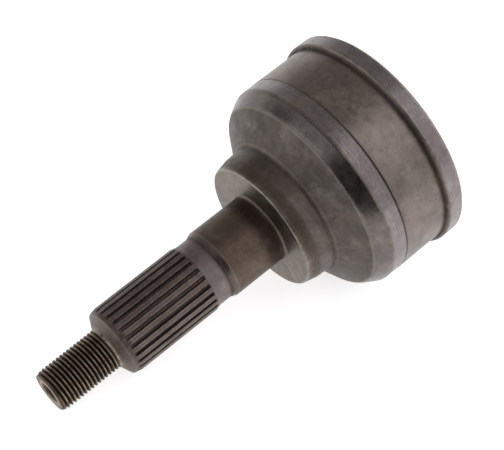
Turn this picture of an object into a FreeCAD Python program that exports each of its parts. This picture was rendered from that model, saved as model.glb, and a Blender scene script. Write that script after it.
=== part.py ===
"""Fixed-ball constant velocity joint with a threaded and splined stub axle.

The joint centre, where the axes of the stub and of the drive shaft cross, is the
origin. The stub points along -X, the mouth of the bell opens along +X, +Z is up.
All sizes are in millimetres and live in the spreadsheet "Sizes".
"""
import FreeCAD, Part
import enum
import math
import os
import re

import Sketcher
from FreeCAD import Placement, Rotation, Vector

# ---------------------------------------------------------------- driving sizes
SIZES = {
    # balls, tracks and running clearances
    "ball_diameter": 17.462,
    "pitch_radius": 29.0,
    "track_offset": 3.0,
    "track_play": 0.15,
    "sphere_play": 0.15,
    "window_play": 0.3,
    "window_travel": 2.0,
    "window_corner": 3.0,
    "track_margin": 1.5,
    "articulation": 45.0,
    # bell
    "bell_wall": 4.0,
    "rim_height": 1.6,
    "rim_width": 6.7,
    "rim_slope": 1.3,
    "rim_chamfer": 1.2,
    "rim_foot_fillet": 1.0,
    "mouth_reach": 21.3,
    "mouth_lip": 3.4,
    "band_reach": 5.4,
    "band_relief": 0.12,
    "shoulder_reach": 12.3,
    "shoulder_fillet": 3.0,
    "bevel_length": 5.5,
    "bevel_drop": 3.1,
    "bevel_fillet": 4.5,
    "cone_length": 7.8,
    # collar
    "collar_length": 11.4,
    "collar_radius": 26.6,
    "collar_root_fillet": 1.6,
    "knee_length": 5.3,
    "knee_radius": 26.2,
    "face_radius": 25.0,
    "face_edge": 0.8,
    # stub axle
    "shank_length": 21.9,
    "shank_radius": 13.55,
    "shank_root_fillet": 1.0,
    "neck_radius": 12.6,
    "neck_length": 4.8,
    "neck_cone": 2.4,
    "neck_fillet": 0.5,
    "spline_length": 38.6,
    "spline_radius": 13.15,
    "spline_root_radius": 12.05,
    "spline_teeth": 24,
    "spline_gap_outer": 1.9,
    "spline_gap_inner": 0.9,
    "spline_lead": 2.7,
    "spline_runout": 2.4,
    "thread_cone": 2.4,
    "thread_length": 24.9,
    "thread_diameter": 16.0,
    "thread_pitch": 1.5,
    "thread_lead": 2.2,
    "thread_lead_depth": 0.8,
    "thread_runout": 1.2,
    "centre_radius": 4.4,
    "centre_cone": 4.8,
    "pilot_radius": 1.6,
    "pilot_depth": 8.5,
    # inner race, its splined bore and the ring that holds the drive shaft
    "race_width": 23.0,
    "race_edge": 0.6,
    "bore_radius": 10.6,
    "bore_root_radius": 11.5,
    "bore_teeth": 24,
    "bore_gap_inner": 1.6,
    "bore_gap_outer": 0.8,
    "bore_lead": 1.2,
    "clip_wire": 1.8,
    "clip_inset": 3.6,
    "clip_gap": 40.0,
    "clip_side_play": 0.2,
    "clip_rim_play": 0.4,
    "clip_bore_play": 0.1,
    # cage
    "cage_width": 29.0,
    "cage_outward": 3.0,
    "cage_inward": 1.6,
    "cage_edge": 0.5,
}

BALLS = 6
RIGHT_ANGLE = 90.0
FULL_TURN = 360.0
MOUTH_SLOPE = math.radians(45.0)
RACE_SWEEP = 120.0
MOUTHWARD_SWEEP = 80.0
OVERCUT = 1.0
THREAD_OVERCUT = 0.1
THREAD_DEPTH = "thread_pitch * 0.6134"
THREAD_GAP = "thread_pitch * 0.875"
HALF_FLANK = "tan(30 deg)"
NAME_OF_SHEET = "Sizes"
ALIGNED = 0.999
SAME_PLACE = 0.001


class Spot(enum.IntEnum):
    """How a sketch numbers its origin, and the points of each curve."""

    ORIGIN = -1
    START = 1
    END = 2
    CENTRE = 3


ORIGIN, START, END, CENTRE = Spot

doc = FreeCAD.newDocument("cv_joint")
sheet = doc.addObject("Spreadsheet::Sheet", NAME_OF_SHEET)


# ---------------------------------------------------------------- helpers
def fill_sheet():
    """Write each driving size as a number, with its name as the alias."""
    for row, (alias, size) in enumerate(SIZES.items(), start=1):
        sheet.set(f"A{row}", alias)
        sheet.set(f"B{row}", str(size))
        sheet.setAlias(f"B{row}", alias)
    doc.recompute()


def bound(formula):
    """Turn a formula of size names into a FreeCAD expression on the sheet."""
    def cell(match):
        word = match.group(0)
        return f"{NAME_OF_SHEET}.{word}" if word in SIZES else word
    return re.sub(r"[a-z_]+", cell, formula)


def value(formula):
    """The number that a formula of size names gives now."""
    result = sheet.evalExpression(bound(formula))
    return float(getattr(result, "Value", result))


def negative(formula):
    """The same formula with its sign turned."""
    return f"-({formula})"


def new_body(name):
    """An empty body whose Label is its file's name."""
    body = doc.addObject("PartDesign::Body", name)
    body.Label = name
    return body


def origin_feature(body, role):
    """One of a body's own origin planes or axes, by its Role."""
    return next(item for item in body.Origin.OriginFeatures if item.Role == role)


def new_sketch(body, name, plane, offset=None):
    """A sketch on an origin plane, moved along the plane's normal by a formula."""
    sketch = body.newObject("Sketcher::SketchObject", name)
    sketch.AttachmentSupport = [(origin_feature(body, plane), "")]
    sketch.MapMode = "FlatFace"
    if offset:
        sketch.setExpression("AttachmentOffset.Base.z", bound(offset))
    return sketch


def pin_point(sketch, curve, end, across, up):
    """Hold one end of a curve at a pair of formulas measured from the origin."""
    for kind, formula in (("DistanceX", across), ("DistanceY", up)):
        index = sketch.addConstraint(
            Sketcher.Constraint(kind, ORIGIN, START, curve, end, value(formula)))
        sketch.setExpression(f"Constraints[{index}]", bound(formula))


def closed_outline(sketch, corners):
    """Straight lines from corner to corner, each corner held by its two formulas."""
    points = [Vector(value(across), value(up), 0) for across, up in corners]
    lines = []
    for here, there in zip(points, points[1:] + points[:1]):
        lines.append(sketch.addGeometry(Part.LineSegment(here, there)))
    for line, following in zip(lines, lines[1:] + lines[:1]):
        sketch.addConstraint(Sketcher.Constraint("Coincident", line, END, following, START))
    for line, (across, up) in zip(lines, corners):
        pin_point(sketch, line, START, across, up)
    return lines


def held_circle(sketch, across, up, radius):
    """A circle whose centre and radius are formulas."""
    centre = Vector(value(across), value(up), 0)
    circle = sketch.addGeometry(Part.Circle(centre, Vector(0, 0, 1), value(radius)))
    pin_point(sketch, circle, CENTRE, across, up)
    index = sketch.addConstraint(Sketcher.Constraint("Radius", circle, value(radius)))
    sketch.setExpression(f"Constraints[{index}]", bound(radius))


def turned(body, name, sketch, kind="PartDesign::Revolution", axis="H_Axis", angle=FULL_TURN):
    """A revolution or a groove of a sketch about one of the sketch's own axes."""
    feature = body.newObject(kind, name)
    feature.Profile = sketch
    feature.ReferenceAxis = (sketch, [axis])
    feature.Angle = angle
    return feature


def pocket(body, name, sketch, length, reversed_=False):
    """A pocket whose depth is a formula."""
    feature = body.newObject("PartDesign::Pocket", name)
    feature.Profile = sketch
    feature.Reversed = reversed_
    feature.setExpression("Length", bound(length))
    return feature


def around(body, name, features, count):
    """Copies of features spread evenly about the body's X axis."""
    pattern = body.newObject("PartDesign::PolarPattern", name)
    pattern.Originals = features
    pattern.Axis = (origin_feature(body, "X_Axis"), [""])
    pattern.Angle = FULL_TURN
    if isinstance(count, str):
        pattern.setExpression("Occurrences", bound(count))
    else:
        pattern.Occurrences = count
    body.Tip = pattern
    doc.recompute()
    return pattern


def rings(feature, places):
    """The names of the full circular edges about the X axis at (x, radius) formulas."""
    wanted = [(value(x), value(radius)) for x, radius in places]
    names = []
    for index, edge in enumerate(feature.Shape.Edges, start=1):
        curve = edge.Curve
        if not isinstance(curve, Part.Circle) or abs(curve.Axis.x) < ALIGNED:
            continue
        for x, radius in wanted:
            if abs(curve.Center.x - x) < SAME_PLACE and abs(curve.Radius - radius) < SAME_PLACE:
                names.append(f"Edge{index}")
    return names


def dress(body, name, kind, base, places, size):
    """A fillet or chamfer of one size on the rings at the given places."""
    doc.recompute()
    edges = rings(base, places)
    if len(edges) != len(places):
        raise RuntimeError(f"{name} found {len(edges)} of {len(places)} rings")
    feature = body.newObject(kind, name)
    feature.Base = (base, edges)
    aim = "Radius" if kind.endswith("Fillet") else "Size"
    feature.setExpression(aim, bound(size))
    body.Tip = feature
    return feature


# ---------------------------------------------------------------- shared formulas
BALL_RADIUS = "ball_diameter / 2"
TRACK_RADIUS = f"({BALL_RADIUS} + track_play)"
PATH_RADIUS = "sqrt(pitch_radius ^ 2 + track_offset ^ 2)"
CAGE_OUTER = "(pitch_radius + cage_outward)"
CAGE_INNER = "(pitch_radius - cage_inward)"
CAVITY_RADIUS = f"({CAGE_OUTER} + sphere_play)"
RACE_RADIUS = f"({CAGE_INNER} - sphere_play)"
BODY_RADIUS = f"({PATH_RADIUS} + {TRACK_RADIUS} + bell_wall)"
RIM_RADIUS = f"({BODY_RADIUS} + rim_height)"
TRACK_TURN = f"(articulation / 2 * 1 deg + asin(track_offset / {PATH_RADIUS}) + track_margin * 1 deg)"

# Stations along the axis, from the mouth back to the tip of the stub.
MOUTH_X = "mouth_reach"
RIM_WALL_X = f"({MOUTH_X} - rim_width)"
RIM_FOOT_X = f"({RIM_WALL_X} - rim_slope)"
BAND_X = negative("band_reach")
SHOULDER_X = negative("shoulder_reach")
BEVEL_X = f"({SHOULDER_X} - bevel_length)"
COLLAR_ROOT_X = f"({BEVEL_X} - cone_length)"
FACE_X = f"({COLLAR_ROOT_X} - collar_length)"
KNEE_X = f"({FACE_X} + knee_length)"
SHANK_X = f"({FACE_X} - shank_length)"
NECK_X = f"({SHANK_X} - neck_cone)"
SPLINE_BACK_X = f"({NECK_X} - neck_length)"
SPLINE_FRONT_X = f"({SPLINE_BACK_X} - spline_length)"
THREAD_X = f"({SPLINE_FRONT_X} - thread_cone)"
TIP_X = f"({THREAD_X} - thread_length)"
THREAD_RADIUS = "thread_diameter / 2"
SPLINE_LAND_X = f"({SPLINE_FRONT_X} + spline_lead)"
RUNOUT_X = f"({SPLINE_BACK_X} - spline_runout)"


# ---------------------------------------------------------------- outer race
def outer_race():
    """The bell and its stub axle, one forging, with ball tracks cut inside."""
    body = new_body("outer_race")
    turned_blank(body)
    cut_cavity(body)
    cut_outer_tracks(body)
    cut_stub_spline(body)
    cut_stub_thread(body)
    return body


def turned_blank(body):
    """The outside of the bell, collar and stub, turned about the X axis."""
    sketch = new_sketch(body, "blank_outline", "XY_Plane")
    relieved = f"({BODY_RADIUS} - band_relief)"
    bevelled = f"({relieved} - bevel_drop)"
    closed_outline(sketch, [
        (f"{TIP_X} + pilot_depth", "0"),
        (f"{TIP_X} + pilot_depth", "pilot_radius"),
        (f"{TIP_X} + centre_cone", "pilot_radius"),
        (TIP_X, "centre_radius"),
        (TIP_X, f"{THREAD_RADIUS} - thread_lead_depth"),
        (f"{TIP_X} + thread_lead", THREAD_RADIUS),
        (THREAD_X, THREAD_RADIUS),
        (SPLINE_FRONT_X, "neck_radius"),
        (SPLINE_LAND_X, "spline_radius"),
        (RUNOUT_X, "spline_radius"),
        (SPLINE_BACK_X, "neck_radius"),
        (NECK_X, "neck_radius"),
        (SHANK_X, "shank_radius"),
        (FACE_X, "shank_radius"),
        (FACE_X, "face_radius"),
        (KNEE_X, "knee_radius"),
        (COLLAR_ROOT_X, "collar_radius"),
        (BEVEL_X, bevelled),
        (SHOULDER_X, relieved),
        (BAND_X, relieved),
        (BAND_X, BODY_RADIUS),
        (RIM_FOOT_X, BODY_RADIUS),
        (RIM_WALL_X, RIM_RADIUS),
        (f"{MOUTH_X} - rim_chamfer", RIM_RADIUS),
        (MOUTH_X, f"{RIM_RADIUS} - rim_chamfer"),
        (MOUTH_X, "0"),
    ])
    blank = turned(body, "blank", sketch)
    fillet = "PartDesign::Fillet"
    last = dress(body, "shoulder_round", fillet, blank, [(SHOULDER_X, relieved)], "shoulder_fillet")
    last = dress(body, "bevel_round", fillet, last, [(BEVEL_X, bevelled)], "bevel_fillet")
    last = dress(body, "collar_root", fillet, last, [(COLLAR_ROOT_X, "collar_radius")],
                 "collar_root_fillet")
    last = dress(body, "rim_foot", fillet, last, [(RIM_FOOT_X, BODY_RADIUS)], "rim_foot_fillet")
    last = dress(body, "shank_root", fillet, last, [(FACE_X, "shank_radius")],
                 "shank_root_fillet")
    last = dress(body, "neck_rounds", fillet, last,
                 [(NECK_X, "neck_radius"), (SPLINE_BACK_X, "neck_radius")], "neck_fillet")
    return dress(body, "face_edge_round", fillet, last, [(FACE_X, "face_radius")], "face_edge")


def cut_cavity(body):
    """The spherical hollow that seats the cage, its floor and the chamfered mouth."""
    sketch = new_sketch(body, "cavity_outline", "XY_Plane")
    radius = value(CAVITY_RADIUS)
    floor = -value(CAGE_INNER)
    lip_radius = f"({RIM_RADIUS} - rim_chamfer - mouth_lip)"
    lip = value(lip_radius)
    mouth = value(MOUTH_X)
    # where the 45 degree chamfer meets the sphere
    gap = lip - mouth
    seat = (-gap + (2 * radius ** 2 - gap ** 2) ** 0.5) / 2
    back = Vector(floor, (radius ** 2 - floor ** 2) ** 0.5, 0)
    front = Vector(seat, seat + gap, 0)
    out = Vector(mouth + OVERCUT, lip + OVERCUT, 0)
    corners = [Vector(floor, 0, 0), back, front, out, Vector(mouth + OVERCUT, 0, 0)]
    wall = sketch.addGeometry(Part.LineSegment(corners[0], corners[1]))
    top = Vector(0, radius, 0)
    bowl = sketch.addGeometry(Part.Arc(front, top, back))
    chamfer = sketch.addGeometry(Part.LineSegment(corners[2], corners[3]))
    fall = sketch.addGeometry(Part.LineSegment(corners[3], corners[4]))
    base = sketch.addGeometry(Part.LineSegment(corners[4], corners[0]))
    joined = Sketcher.Constraint
    sketch.addConstraint(joined("Coincident", wall, END, bowl, END))
    sketch.addConstraint(joined("Coincident", bowl, START, chamfer, START))
    sketch.addConstraint(joined("Coincident", chamfer, END, fall, START))
    sketch.addConstraint(joined("Coincident", fall, END, base, START))
    sketch.addConstraint(joined("Coincident", base, END, wall, START))
    sketch.addConstraint(joined("Coincident", bowl, CENTRE, ORIGIN, START))
    sketch.addConstraint(joined("Vertical", wall))
    sketch.addConstraint(joined("Vertical", fall))
    index = sketch.addConstraint(joined("Radius", bowl, radius))
    sketch.setExpression(f"Constraints[{index}]", bound(CAVITY_RADIUS))
    pin_point(sketch, wall, START, negative(CAGE_INNER), "0")
    pin_point(sketch, chamfer, END, f"{MOUTH_X} + {OVERCUT}", f"{lip_radius} + {OVERCUT}")
    sketch.addConstraint(joined("PointOnObject", fall, END, ORIGIN))
    sketch.addConstraint(joined("Angle", chamfer, MOUTH_SLOPE))
    return turned(body, "cavity", sketch, "PartDesign::Groove")


def cut_outer_tracks(body):
    """Six arc-shaped ball tracks, each ending in a round pocket near the floor."""
    sketch = new_sketch(body, "track_section", "YZ_Plane", "track_offset")
    held_circle(sketch, "0", PATH_RADIUS, TRACK_RADIUS)
    outward = turned(body, "track_to_mouth", sketch, "PartDesign::Groove", "H_Axis",
                     MOUTHWARD_SWEEP)
    inward = turned(body, "track_to_floor", sketch, "PartDesign::Groove", "H_Axis")
    inward.Reversed = True
    inward.setExpression("Angle", bound(TRACK_TURN))
    end = body.newObject("PartDesign::SubtractiveSphere", "track_end")
    end.setExpression("Radius", bound(TRACK_RADIUS))
    end.setExpression(
        "Placement.Base.x", bound(f"track_offset - {PATH_RADIUS} * sin({TRACK_TURN})"))
    end.setExpression("Placement.Base.z", bound(f"{PATH_RADIUS} * cos({TRACK_TURN})"))
    body.Tip = end
    around(body, "tracks", [outward, inward, end], BALLS)


def tooth_gap(body, name, station, widths, radii, lift="0"):
    """A sketch of one gap between teeth: a trapezoid, narrow end at the first radius."""
    narrow, wide = widths
    inner, outer = radii
    sketch = new_sketch(body, name, "YZ_Plane", station)
    grow = f"({wide} - {narrow}) * {OVERCUT} / abs({outer} - {inner})"
    reach = f"{outer} + {OVERCUT}" if value(outer) > value(inner) else f"{outer} - {OVERCUT}"
    closed_outline(sketch, [
        (f"-{narrow} / 2", f"{inner} + {lift}"),
        (f"{narrow} / 2", f"{inner} + {lift}"),
        (f"({wide} + {grow}) / 2", f"{reach} + {lift}"),
        (f"-({wide} + {grow}) / 2", f"{reach} + {lift}"),
    ])
    return sketch


def cut_stub_spline(body):
    """The external spline: straight gaps that rise out of the bar at the neck."""
    widths = ("spline_gap_inner", "spline_gap_outer")
    radii = ("spline_root_radius", "spline_radius")
    start = f"{SPLINE_FRONT_X} - thread_cone / 2"
    sketch = tooth_gap(body, "spline_gap_section", start, widths, radii)
    gap = pocket(body, "spline_gap", sketch, f"{RUNOUT_X} - ({start})", True)
    low = tooth_gap(body, "runout_start", RUNOUT_X, widths, radii)
    high = tooth_gap(body, "runout_end", SPLINE_BACK_X, widths, radii,
                     "spline_radius - spline_root_radius")
    rise = body.newObject("PartDesign::SubtractiveLoft", "spline_runout_cut")
    rise.Profile = low
    rise.Sections = [high]
    rise.Ruled = True
    body.Tip = rise
    around(body, "spline", [gap, rise], "spline_teeth")


def cut_stub_thread(body):
    """The nut's thread: one V groove wound along the end of the stub."""
    sketch = new_sketch(body, "thread_section", "XY_Plane")
    start = f"{TIP_X} - thread_pitch"
    root = f"{THREAD_RADIUS} - {THREAD_DEPTH}"
    top = f"{THREAD_RADIUS} + {THREAD_OVERCUT}"
    half_top = f"({THREAD_GAP} / 2 + {THREAD_OVERCUT} * {HALF_FLANK})"
    half_root = f"({THREAD_GAP} / 2 - {THREAD_DEPTH} * {HALF_FLANK})"
    closed_outline(sketch, [
        (f"{start} - {half_root}", root),
        (f"{start} + {half_root}", root),
        (f"{start} + {half_top}", top),
        (f"{start} - {half_top}", top),
    ])
    thread = body.newObject("PartDesign::SubtractiveHelix", "thread")
    thread.Profile = sketch
    thread.ReferenceAxis = (sketch, ["H_Axis"])
    thread.Mode = "pitch-height-angle"
    thread.setExpression("Pitch", bound("thread_pitch"))
    thread.setExpression("Height", bound("thread_length + thread_pitch - thread_runout"))
    body.Tip = thread


# ---------------------------------------------------------------- inner race and its ring
def ring_outline(body, name, half_width, inner, outer, straight_bore):
    """A ring's section between two end faces, with a sphere outside.

    The inside is a straight bore or, without one, a sphere about the same centre.
    """
    sketch = new_sketch(body, name, "XY_Plane")
    joined = Sketcher.Constraint
    side = value(half_width)

    def arc(radius_formula):
        radius = value(radius_formula)
        height = (radius ** 2 - side ** 2) ** 0.5
        curve = sketch.addGeometry(Part.Arc(
            Vector(side, height, 0), Vector(0, radius, 0), Vector(-side, height, 0)))
        sketch.addConstraint(joined("Coincident", curve, CENTRE, ORIGIN, START))
        index = sketch.addConstraint(joined("Radius", curve, radius))
        sketch.setExpression(f"Constraints[{index}]", bound(radius_formula))
        return curve, height

    def straight(radius_formula):
        radius = value(radius_formula)
        line = sketch.addGeometry(
            Part.LineSegment(Vector(side, radius, 0), Vector(-side, radius, 0)))
        sketch.addConstraint(joined("Horizontal", line))
        index = sketch.addConstraint(
            joined("DistanceY", ORIGIN, START, line, START, radius))
        sketch.setExpression(f"Constraints[{index}]", bound(radius_formula))
        return line, radius

    top, top_height = arc(outer)
    inside, low_height = straight(inner) if straight_bore else arc(inner)
    for end, place in ((START, side), (END, -side)):
        face = sketch.addGeometry(
            Part.LineSegment(Vector(place, low_height, 0), Vector(place, top_height, 0)))
        sketch.addConstraint(joined("Coincident", face, START, inside, end))
        sketch.addConstraint(joined("Coincident", face, END, top, end))
        sketch.addConstraint(joined("Vertical", face))
        formula = half_width if place > 0 else negative(half_width)
        index = sketch.addConstraint(joined("DistanceX", ORIGIN, START, top, end, place))
        sketch.setExpression(f"Constraints[{index}]", bound(formula))
    return sketch


def inner_race():
    """The star-shaped hub on the drive shaft, with a track for each ball."""
    body = new_body("inner_race")
    half = "race_width / 2"
    sketch = ring_outline(body, "race_outline", half, "bore_radius", RACE_RADIUS, True)
    blank = turned(body, "race_blank", sketch)
    dress(body, "bore_leads", "PartDesign::Chamfer", blank,
          [(half, "bore_radius"), (negative(half), "bore_radius")], "bore_lead")
    track = new_sketch(body, "race_track_section", "YZ_Plane", negative("track_offset"))
    held_circle(track, "0", PATH_RADIUS, TRACK_RADIUS)
    groove = turned(body, "race_track", track, "PartDesign::Groove", "H_Axis", RACE_SWEEP)
    groove.Midplane = True
    around(body, "race_tracks", [groove], BALLS)
    gap = tooth_gap(body, "bore_gap_section", f"-({half}) - {OVERCUT}",
                    ("bore_gap_outer", "bore_gap_inner"), ("bore_root_radius", "bore_radius"))
    space = pocket(body, "bore_gap", gap, f"race_width + 2 * {OVERCUT}", True)
    around(body, "bore_spline", [space], "bore_teeth")
    clip_seat(body)
    for side, name in ((1, "mouth_edge"), (-1, "floor_edge")):
        break_race_edge(body, name, side)
    return body


CLIP_X = "(clip_inset - race_width / 2)"
CLIP_RADIUS = "(bore_radius + clip_bore_play + clip_wire / 2)"


def clip_seat(body):
    """The groove in the bore that the round-wire ring sits in."""
    sketch = new_sketch(body, "clip_seat_section", "XY_Plane")
    half = "(clip_wire / 2 + clip_side_play)"
    bottom = f"{CLIP_RADIUS} + clip_wire / 2 + clip_rim_play"
    closed_outline(sketch, [
        (f"{CLIP_X} - {half}", "bore_radius / 2"),
        (f"{CLIP_X} + {half}", "bore_radius / 2"),
        (f"{CLIP_X} + {half}", bottom),
        (f"{CLIP_X} - {half}", bottom),
    ])
    turned(body, "clip_seat", sketch, "PartDesign::Groove")


def break_race_edge(body, name, side):
    """A 45 degree chamfer on the sharp rim of one end of the race."""
    sketch = new_sketch(body, f"{name}_section", "XY_Plane")
    end = f"{side} * race_width / 2"
    rim = f"sqrt({RACE_RADIUS} ^ 2 - (race_width / 2) ^ 2)"
    closed_outline(sketch, [
        (f"{end} + {side} * {OVERCUT}", f"{rim} - race_edge - {OVERCUT}"),
        (f"{end} + {side} * {OVERCUT}", f"{rim} + race_edge"),
        (f"{end} - {side} * 2 * race_edge", f"{rim} + race_edge"),
    ])
    turned(body, name, sketch, "PartDesign::Groove")


def circlip():
    """The open ring of round wire that snaps into the drive shaft's groove."""
    ring = doc.addObject("Part::Torus", "circlip")
    ring.Label = "circlip"
    ring.setExpression("Radius1", bound(CLIP_RADIUS))
    ring.setExpression("Radius2", bound("clip_wire / 2"))
    ring.setExpression("Angle3", bound(f"{FULL_TURN} - clip_gap"))
    ring.Placement = Placement(Vector(), Rotation(Vector(0, 1, 0), RIGHT_ANGLE))
    ring.setExpression("Placement.Base.x", bound(CLIP_X))
    return ring


# ---------------------------------------------------------------- cage and balls
def ball_cage():
    """The ring between the races, with a window that holds each ball."""
    body = new_body("ball_cage")
    half = "cage_width / 2"
    sketch = ring_outline(body, "cage_outline", half, CAGE_INNER, CAGE_OUTER, False)
    blank = turned(body, "cage_blank", sketch)
    places = []
    for side in (half, negative(half)):
        for radius in (CAGE_INNER, CAGE_OUTER):
            places.append((side, f"sqrt({radius} ^ 2 - ({half}) ^ 2)"))
    dress(body, "cage_edges", "PartDesign::Chamfer", blank, places, "cage_edge")
    window = new_sketch(body, "window_outline", "XY_Plane")
    rounded_rectangle(window, f"({BALL_RADIUS} + window_play)",
                      f"({BALL_RADIUS} + window_travel)", "window_corner")
    cut = pocket(body, "window", window, f"{CAGE_OUTER} + {OVERCUT}", True)
    around(body, "windows", [cut], BALLS)
    return body


def rounded_rectangle(sketch, half_across, half_up, corner):
    """A rectangle about the origin whose four corners are equal arcs."""
    joined = Sketcher.Constraint
    a, b, c = value(half_across), value(half_up), value(corner)
    arcs = []
    for quarter, (right, up) in enumerate(((1, 1), (-1, 1), (-1, -1), (1, -1))):
        centre = Vector(right * (a - c), up * (b - c), 0)
        start = math.radians(quarter * RIGHT_ANGLE)
        arc = sketch.addGeometry(Part.ArcOfCircle(
            Part.Circle(centre, Vector(0, 0, 1), c), start, start + math.radians(RIGHT_ANGLE)))
        pin_point(sketch, arc, CENTRE, f"{right} * ({half_across} - {corner})",
                  f"{up} * ({half_up} - {corner})")
        index = sketch.addConstraint(joined("Radius", arc, c))
        sketch.setExpression(f"Constraints[{index}]", bound(corner))
        arcs.append(arc)
    for arc, following in zip(arcs, arcs[1:] + arcs[:1]):
        ends = [sketch.getPoint(arc, END), sketch.getPoint(following, START)]
        side = sketch.addGeometry(Part.LineSegment(*ends))
        sketch.addConstraint(joined("Tangent", arc, END, side, START))
        sketch.addConstraint(joined("Tangent", side, END, following, START))


def ball(index):
    """One ball, at rest midway between the two races."""
    name = f"ball_{index + 1}"
    turn = RIGHT_ANGLE - index * FULL_TURN / BALLS
    sphere = doc.addObject("Part::Sphere", name)
    sphere.Label = name
    sphere.setExpression("Radius", bound(BALL_RADIUS))
    sphere.setExpression("Placement.Base.y", bound(f"pitch_radius * cos({turn} deg)"))
    sphere.setExpression("Placement.Base.z", bound(f"pitch_radius * sin({turn} deg)"))
    return sphere


# ---------------------------------------------------------------- build and write
def check_document():
    """Stop if any object of the document failed to build."""
    for item in doc.Objects:
        if "Invalid" in item.State or "Error" in item.State:
            raise RuntimeError(f"{item.Name} failed to build: {item.State}")


def write(parts):
    """Write each sub-part's one valid solid to its own file."""
    os.makedirs("parts", exist_ok=True)
    for part in parts:
        shape = part.Shape
        if shape.isNull() or not shape.isValid() or len(shape.Solids) != 1:
            raise RuntimeError(f"{part.Label} is not one valid solid")
    for part in parts:
        part.Shape.exportStep(f"parts/{part.Label}.step")
        box = part.Shape.BoundBox
        print(f"{part.Label}: {part.Shape.Volume:.1f} mm3, X {box.XMin:.2f} to {box.XMax:.2f}")


fill_sheet()
sub_parts = [outer_race(), inner_race(), circlip(), ball_cage()]
sub_parts += [ball(index) for index in range(BALLS)]
doc.recompute()
check_document()
write(sub_parts)
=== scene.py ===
"""A fixed-centre ball joint for a driven, steered wheel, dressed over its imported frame.

The bell with its stub axle is drawn anew as numpy surfaces: a threaded end, a splined shaft and
a hollow bell with six ball tracks. The balls are drawn anew too. The inner race, the cage and
the retaining ring keep their own meshes and get finishes. Lengths in the classes are
millimetres, and a mesh is written in metres.
"""
from __future__ import annotations

import enum
import logging
import math
from collections.abc import Callable, Sequence
from dataclasses import dataclass, field

import bpy
import numpy as np
from bpy.types import Material, Node, NodeSocket, Object
from mathutils import Matrix, Vector


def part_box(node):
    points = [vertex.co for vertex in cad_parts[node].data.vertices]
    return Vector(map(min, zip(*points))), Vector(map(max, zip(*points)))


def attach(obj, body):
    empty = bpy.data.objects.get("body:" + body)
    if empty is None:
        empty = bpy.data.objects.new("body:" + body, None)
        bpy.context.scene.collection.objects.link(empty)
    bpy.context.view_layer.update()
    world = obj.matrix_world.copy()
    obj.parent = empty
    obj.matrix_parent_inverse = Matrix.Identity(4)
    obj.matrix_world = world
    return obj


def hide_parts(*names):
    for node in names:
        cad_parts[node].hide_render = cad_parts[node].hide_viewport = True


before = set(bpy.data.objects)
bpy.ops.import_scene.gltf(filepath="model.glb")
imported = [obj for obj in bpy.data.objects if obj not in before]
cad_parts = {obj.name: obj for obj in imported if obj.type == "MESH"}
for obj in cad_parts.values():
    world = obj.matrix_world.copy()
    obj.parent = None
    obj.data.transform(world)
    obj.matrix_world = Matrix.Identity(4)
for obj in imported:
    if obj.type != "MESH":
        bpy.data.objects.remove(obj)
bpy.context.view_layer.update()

MM = 0.001
FULL_TURN = 2.0 * math.pi
QUARTER_TURN = math.pi / 2.0
CLOUD_MEAN = 0.5
WELD_GRID = 1e-4
WELD_SHIFT = 0.37  # keeps whole stations and radii off the weld grid's borders
CROWD = (0.12, 0.3, 0.6)  # distances from an outline's corner at which samples crowd
ARC_STEP = 0.2  # radians
ARC_LEAST = 4
SHARP_TURN = 0.25  # radians: a flatter corner gathers neither wear nor grime with painted shade
ARC_SHARE = 0.35  # how much of a rounding counts as the corner itself
HALVINGS = 40
OUTER_BODY = "outer_race"
Pair = tuple[float, float]
Triple = tuple[float, float, float]
Span = Pair
Colour = Triple
Sockets = dict[int | str, object]
Array = np.ndarray
Marks = dict["Mark", Array]

logging.basicConfig(level=logging.INFO, format="%(message)s")
log = logging.getLogger("joint")


class Slot(enum.Enum):
    """Names for the material slots of the pieces that are drawn anew; no piece uses them."""

    FORGING = "phosphated_forging"
    BALL = "bearing_ball"


class Mark(enum.Enum):
    """The names of the values that a mesh carries at its points."""

    # Wear at convex edges; on the bell also a painted sheen.
    WEAR = "wear"
    # Grime together with painted shade in hollows, grooves and concave corners.
    SOIL = "soil"


def tone(red: int, green: int, blue: int) -> Colour:
    """Linear colour of an eight-bit one: the standard curve's power part with its straight toe.

    Args:
        red: Red, 0 to 255.
        green: Green, 0 to 255.
        blue: Blue, 0 to 255.

    Returns:
        The linear red, green and blue.
    """
    toe, slope, lift, power, top = 0.04045, 12.92, 0.055, 2.4, 255.0
    parts = (red / top, green / top, blue / top)
    return tuple(v / slope if v <= toe else ((v + lift) / (1.0 + lift)) ** power for v in parts)


def ball_names() -> list[str]:
    """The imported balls' nodes, in order."""
    return sorted(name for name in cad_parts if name.startswith("ball_") and name != "ball_cage")


def ball_seat(name: str) -> tuple[Array, float]:
    """A ball's centre and radius in millimetres, from its packed box."""
    low, high = (np.array(corner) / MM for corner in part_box(name))
    return (low + high) / 2.0, float(high[0] - low[0]) / 2.0


def circle(count: int) -> Array:
    """Even angles of a full turn from 0."""
    return np.arange(count) / count * FULL_TURN


# --- surfaces
@dataclass(frozen=True)
class Corner:
    """One corner of a turned outline: station, radius, rounding, how worn it is, and how much grime and
    painted shade it gathers.
    """

    x: float
    r: float
    rounding: float = 0.0
    wear: float = 1.0
    soil: float = 1.0
    reach: float = 0.8


@dataclass(frozen=True)
class Outline:
    """A turned outline as samples: stations, radii, and how near convex and concave corners are."""

    x: Array
    r: Array
    wear: Array
    soil: Array


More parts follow.
